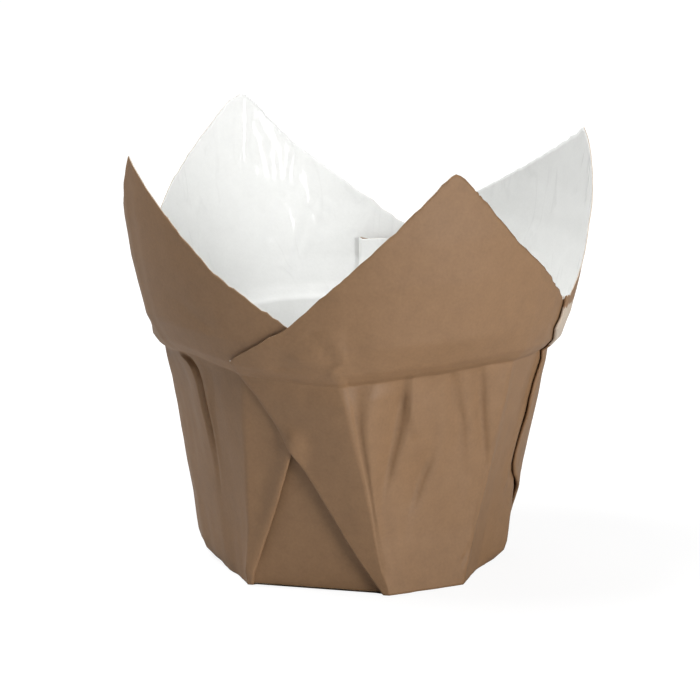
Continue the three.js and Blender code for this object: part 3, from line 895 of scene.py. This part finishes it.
def add_node(tree: bpy.types.NodeTree, kind: str, values: dict | None = None,
             operation: str = "") -> bpy.types.Node:
    """Adds a node to a tree.

    Args:
        tree: The node tree.
        kind: The node's type.
        values: Value of each socket to set, by name or place.
        operation: Operation of a math node.

    Returns:
        The new node.
    """
    node = tree.nodes.new(kind)
    if operation:
        node.operation = operation
    for socket, value in (values or {}).items():
        node.inputs[socket].default_value = value
    return node


@dataclass(frozen=True)
class NoiseLook:
    """Settings of a noise texture."""

    scale: float
    detail: float = 2.0
    distortion: float = 0.0

    def add(self, tree: bpy.types.NodeTree, where: bpy.types.NodeSocket) -> bpy.types.NodeSocket:
        """Adds the texture to a tree.

        Args:
            tree: The node tree.
            where: Socket that gives the place to read.

        Returns:
            The socket that gives the texture's value.
        """
        node = add_node(tree, "ShaderNodeTexNoise",
                        {"Scale": self.scale, "Detail": self.detail, "Distortion": self.distortion})
        tree.links.new(where, node.inputs["Vector"])
        return node.outputs["Fac"]


class NodeGroups:
    """Shader node groups shared by the materials."""

    FIBRES = (NoiseLook(420.0, 4.0), NoiseLook(2200.0, 3.0))
    FIBRE_RANGE = {"From Min": 0.7, "From Max": 1.3}
    STREAK_LINES = NoiseLook(260.0, 2.0, 0.5)
    STREAK_CLUSTERS = NoiseLook(90.0)
    STREAK_STRETCH = (1.0, 1.0, 0.2)
    STREAK_WIDTH = {"From Max": 0.05, "To Min": 1.0, "To Max": 0.0}
    CLUSTER_RANGE = {"From Min": 0.48, "From Max": 0.56}

    @classmethod
    def fibres(cls) -> bpy.types.ShaderNodeTree:
        """Paper fibres.

        Returns:
            A group that takes Base Color and a Contrast, and gives Color, which is the base colour made
            lighter and darker by the fibres, and Height for a bump.
        """
        group = bpy.data.node_groups.new("paper_fibres", "ShaderNodeTree")
        for name, way, kind in (("Contrast", "INPUT", "Float"), ("Base Color", "INPUT", "Color"),
                                ("Color", "OUTPUT", "Color"), ("Height", "OUTPUT", "Float")):
            group.interface.new_socket(name, in_out=way, socket_type="NodeSocket" + kind)
        links = group.links
        entry, leave = group.nodes.new("NodeGroupInput"), group.nodes.new("NodeGroupOutput")
        coords = add_node(group, "ShaderNodeTexCoord")
        blend = add_node(group, "ShaderNodeMath", operation="ADD")
        for i, texture in enumerate(cls.FIBRES):
            links.new(texture.add(group, coords.outputs["Object"]), blend.inputs[i])
        ramp = add_node(group, "ShaderNodeMapRange", cls.FIBRE_RANGE)
        for operation, socket in (("SUBTRACT", "To Min"), ("ADD", "To Max")):
            bound = add_node(group, "ShaderNodeMath", {0: 1.0}, operation)
            links.new(entry.outputs["Contrast"], bound.inputs[1])
            links.new(bound.outputs[0], ramp.inputs[socket])
        tint = add_node(group, "ShaderNodeVectorMath", operation="SCALE")
        links.new(blend.outputs[0], ramp.inputs["Value"])
        links.new(entry.outputs["Base Color"], tint.inputs[0])
        links.new(ramp.outputs["Result"], tint.inputs["Scale"])
        links.new(tint.outputs[0], leave.inputs["Color"])
        links.new(blend.outputs[0], leave.inputs["Height"])
        return group

    @classmethod
    def streaks(cls) -> bpy.types.ShaderNodeTree:
        """Thin creases of the lining, drawn out up the wall and lying in clusters.

        Returns:
            A group that gives Mask, which is 1 on the creases, and Height for a bump.
        """
        group = bpy.data.node_groups.new("lining_streaks", "ShaderNodeTree")
        for name in ("Mask", "Height"):
            group.interface.new_socket(name, in_out="OUTPUT", socket_type="NodeSocketFloat")
        links = group.links
        leave = group.nodes.new("NodeGroupOutput")
        coords = add_node(group, "ShaderNodeTexCoord")
        mapping = add_node(group, "ShaderNodeMapping", {"Scale": cls.STREAK_STRETCH})
        links.new(coords.outputs["Object"], mapping.inputs["Vector"])
        lines = cls.STREAK_LINES.add(group, mapping.outputs["Vector"])
        clusters = cls.STREAK_CLUSTERS.add(group, coords.outputs["Object"])
        centred = add_node(group, "ShaderNodeMath", {1: 0.5}, "SUBTRACT")
        distance = add_node(group, "ShaderNodeMath", operation="ABSOLUTE")
        crease = add_node(group, "ShaderNodeMapRange", cls.STREAK_WIDTH)
        grouped = add_node(group, "ShaderNodeMapRange", cls.CLUSTER_RANGE)
        mask = add_node(group, "ShaderNodeMath", operation="MULTIPLY")
        links.new(lines, centred.inputs[0])
        links.new(centred.outputs[0], distance.inputs[0])
        links.new(distance.outputs[0], crease.inputs["Value"])
        links.new(clusters, grouped.inputs["Value"])
        links.new(crease.outputs["Result"], mask.inputs[0])
        links.new(grouped.outputs["Result"], mask.inputs[1])
        links.new(mask.outputs[0], leave.inputs["Mask"])
        links.new(lines, leave.inputs["Height"])
        return group


class PaperMaterials:
    """Makes the materials of the sheet's faces."""

    COAT_ROUGHNESS = 0.1
    FIBRE_BUMP = {"Strength": 0.25, "Distance": 0.00006}
    CRUMPLE_BUMP = {"Strength": 0.8, "Distance": 0.0005}

    def __init__(self) -> None:
        self.fibres = NodeGroups.fibres()
        self.streaks = NodeGroups.streaks()

    def make(self, finish: Finish) -> bpy.types.Material:
        """Material of one finish.

        Args:
            finish: Colour, roughness and coat. A coat lies on the lining's creases only.

        Returns:
            The new material.
        """
        material = bpy.data.materials.new(finish.name)
        material.use_nodes = True
        tree = material.node_tree
        links = tree.links
        shader = tree.nodes["Principled BSDF"]
        shader.inputs["Roughness"].default_value = finish.roughness
        shader.inputs["Coat Weight"].default_value = finish.coat
        shader.inputs["Coat Roughness"].default_value = self.COAT_ROUGHNESS
        fibres = tree.nodes.new("ShaderNodeGroup")
        fibres.node_tree = self.fibres
        fibres.inputs["Base Color"].default_value = (*finish.colour, 1)
        fibres.inputs["Contrast"].default_value = finish.contrast
        bump = add_node(tree, "ShaderNodeBump", self.FIBRE_BUMP)
        links.new(fibres.outputs["Color"], shader.inputs["Base Color"])
        links.new(fibres.outputs["Height"], bump.inputs["Height"])
        links.new(bump.outputs["Normal"], shader.inputs["Normal"])
        if finish.coat:
            streaks = tree.nodes.new("ShaderNodeGroup")
            streaks.node_tree = self.streaks
            crumple = add_node(tree, "ShaderNodeBump", self.CRUMPLE_BUMP)
            weight = add_node(tree, "ShaderNodeMath", {1: finish.coat}, "MULTIPLY")
            links.new(streaks.outputs["Height"], crumple.inputs["Height"])
            links.new(crumple.outputs["Normal"], shader.inputs["Coat Normal"])
            links.new(streaks.outputs["Mask"], weight.inputs[0])
            links.new(weight.outputs[0], shader.inputs["Coat Weight"])
        return material


class Cup:
    """The finished cup on its CAD body."""

    def __init__(self, size: CupSize) -> None:
        self.size = size

    def build(self) -> None:
        """Builds the cup, hides the CAD part and attaches the cup to the root body."""
        mesh = CupBuilder(self.size).mesh()
        cup = bpy.data.objects.new("tulip_cup_paper", mesh)
        bpy.context.scene.collection.objects.link(cup)
        materials = PaperMaterials()
        for finish in (BROWN, WHITE, EDGE, PALE):
            mesh.materials.append(materials.make(finish))
        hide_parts("tulip_cup")
        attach(cup, "root")
        LOG.info("cup built")


@dataclass(frozen=True)
class Lamp:
    """A soft area lamp aimed at the cup: direction in degrees, power in watts, lengths in metres."""

    name: str
    azimuth: float
    elevation: float
    power: float
    size: float = 0.35
    distance: float = 0.75


@dataclass(frozen=True)
class View:
    """The photograph's camera: degrees round the cup, metres away, lens in millimetres, shift in pixels."""

    azimuth: float = -24.3
    elevation: float = 11.26
    distance: float = 0.6
    lens: float = 192.53
    sensor: float = 36.0
    shift: tuple[float, float] = (-6.0, -6.1)
    picture: int = 700
    nearest: float = 0.01


class Studio:
    """Floor, world, lamps and camera."""

    LAMPS = (
        Lamp("key_lamp", 18.0, 10.0, 4.1, size=0.3),
        Lamp("side_lamp", 48.0, 12.0, 0.45),
        Lamp("left_lamp", -126.0, 12.0, 0.1),
        Lamp("high_left_lamp", -110.0, 62.0, 4.6),
        Lamp("top_lamp", -24.0, 70.0, 0.5),
        Lamp("back_lamp", 156.0, 65.0, 1.0),
    )
    AIM = Vector((0, 0, 0.035))
    FLOOR_SIZE = 3.0
    FLOOR_HEIGHT = -0.0002
    FLOOR_LIT = (0.7, 0.7, 0.7, 1)
    FLOOR_SEEN = (0.16, 0.16, 0.16, 1)
    FLOOR_GLOW = {"From Min": 0.05, "From Max": 0.14, "To Min": 0.9, "To Max": 1.0}
    WORLD_STRENGTH = {"To Min": 0.08, "To Max": 1.0}

    def __init__(self, view: View) -> None:
        self.view = view

    def build(self) -> None:
        """Sets up everything round the cup."""
        self._floor()
        self._world()
        for lamp in self.LAMPS:
            self._lamp(lamp)
        self._camera()
        bpy.context.scene.view_settings.view_transform = "Standard"
        LOG.info("studio built with %d lamps", len(self.LAMPS))

    @staticmethod
    def _direction(azimuth: float, elevation: float) -> Vector:
        """Unit vector from the cup toward a place, 0 being straight in front of the front petal."""
        a, e = math.radians(azimuth), math.radians(elevation)
        return Vector((math.sin(a) * math.cos(e), -math.cos(a) * math.cos(e), math.sin(e)))

    def _place(self, thing: bpy.types.Object, azimuth: float, elevation: float, distance: float) -> None:
        """Puts a lamp or camera round the cup, looking at it.

        Args:
            thing: The lamp or camera.
            azimuth: Its direction round the cup.
            elevation: Its direction above the floor.
            distance: Its distance from the aim.
        """
        direction = self._direction(azimuth, elevation)
        thing.location = self.AIM + direction * distance
        thing.rotation_euler = (-direction).to_track_quat("-Z", "Y").to_euler()
        bpy.context.scene.collection.objects.link(thing)

    def _floor(self) -> None:
        """White floor that keeps the cup's soft shadow.

        The camera sees it dark and glowing, fully white a little way from the cup, so that the lamps can't
        clip it. To every other ray it is a plain pale floor.
        """
        mesh = bpy.data.meshes.new("floor")
        build = bmesh.new()
        bmesh.ops.create_grid(build, x_segments=1, y_segments=1, size=self.FLOOR_SIZE)
        build.to_mesh(mesh)
        build.free()
        floor = bpy.data.objects.new("floor", mesh)
        floor.location.z = self.FLOOR_HEIGHT
        bpy.context.scene.collection.objects.link(floor)
        material = bpy.data.materials.new("white_floor")
        material.use_nodes = True
        tree = material.node_tree
        links = tree.links
        shader = tree.nodes["Principled BSDF"]
        shader.inputs["Roughness"].default_value = 1.0
        shader.inputs["Specular IOR Level"].default_value = 0.0
        shader.inputs["Emission Color"].default_value = (1, 1, 1, 1)
        path, coords = add_node(tree, "ShaderNodeLightPath"), add_node(tree, "ShaderNodeTexCoord")
        tone = add_node(tree, "ShaderNodeMix")
        tone.data_type = "RGBA"
        tone.inputs["A"].default_value = self.FLOOR_LIT
        tone.inputs["B"].default_value = self.FLOOR_SEEN
        away = add_node(tree, "ShaderNodeVectorMath", operation="LENGTH")
        glow = add_node(tree, "ShaderNodeMapRange", self.FLOOR_GLOW)
        seen = add_node(tree, "ShaderNodeMath", operation="MULTIPLY")
        links.new(path.outputs["Is Camera Ray"], tone.inputs["Factor"])
        links.new(tone.outputs["Result"], shader.inputs["Base Color"])
        links.new(coords.outputs["Object"], away.inputs[0])
        links.new(away.outputs["Value"], glow.inputs["Value"])
        links.new(path.outputs["Is Camera Ray"], seen.inputs[0])
        links.new(glow.outputs["Result"], seen.inputs[1])
        links.new(seen.outputs[0], shader.inputs["Emission Strength"])
        mesh.materials.append(material)

    def _world(self) -> None:
        """Even studio light, white behind the cup."""
        world = bpy.data.worlds.new("studio")
        world.use_nodes = True
        bpy.context.scene.world = world
        tree = world.node_tree
        links = tree.links
        background = tree.nodes["Background"]
        background.inputs["Color"].default_value = (1, 1, 1, 1)
        path = add_node(tree, "ShaderNodeLightPath")
        seen = add_node(tree, "ShaderNodeMath", operation="MAXIMUM")
        strength = add_node(tree, "ShaderNodeMapRange", self.WORLD_STRENGTH)
        links.new(path.outputs["Is Camera Ray"], seen.inputs[0])
        links.new(path.outputs["Is Transmission Ray"], seen.inputs[1])
        links.new(seen.outputs[0], strength.inputs["Value"])
        links.new(strength.outputs["Result"], background.inputs["Strength"])

    def _lamp(self, lamp: Lamp) -> None:
        """One area lamp."""
        data = bpy.data.lights.new(lamp.name, "AREA")
        data.size = lamp.size
        data.energy = lamp.power
        self._place(bpy.data.objects.new(lamp.name, data), lamp.azimuth, lamp.elevation, lamp.distance)

    def _camera(self) -> None:
        """Camera at the photograph's angle and distance."""
        view = self.view
        data = bpy.data.cameras.new("camera")
        data.sensor_width = view.sensor
        data.lens = view.lens
        data.shift_x, data.shift_y = (shift / view.picture for shift in view.shift)
        data.clip_start = view.nearest
        camera = bpy.data.objects.new("camera", data)
        self._place(camera, view.azimuth, view.elevation, view.distance)
        bpy.context.scene.camera = camera


def main() -> None:
    """Builds the cup and its studio."""
    logging.basicConfig(level=logging.INFO)
    Cup(CupSize()).build()
    Studio(View()).build()


if __name__ == "__main__":
    main()
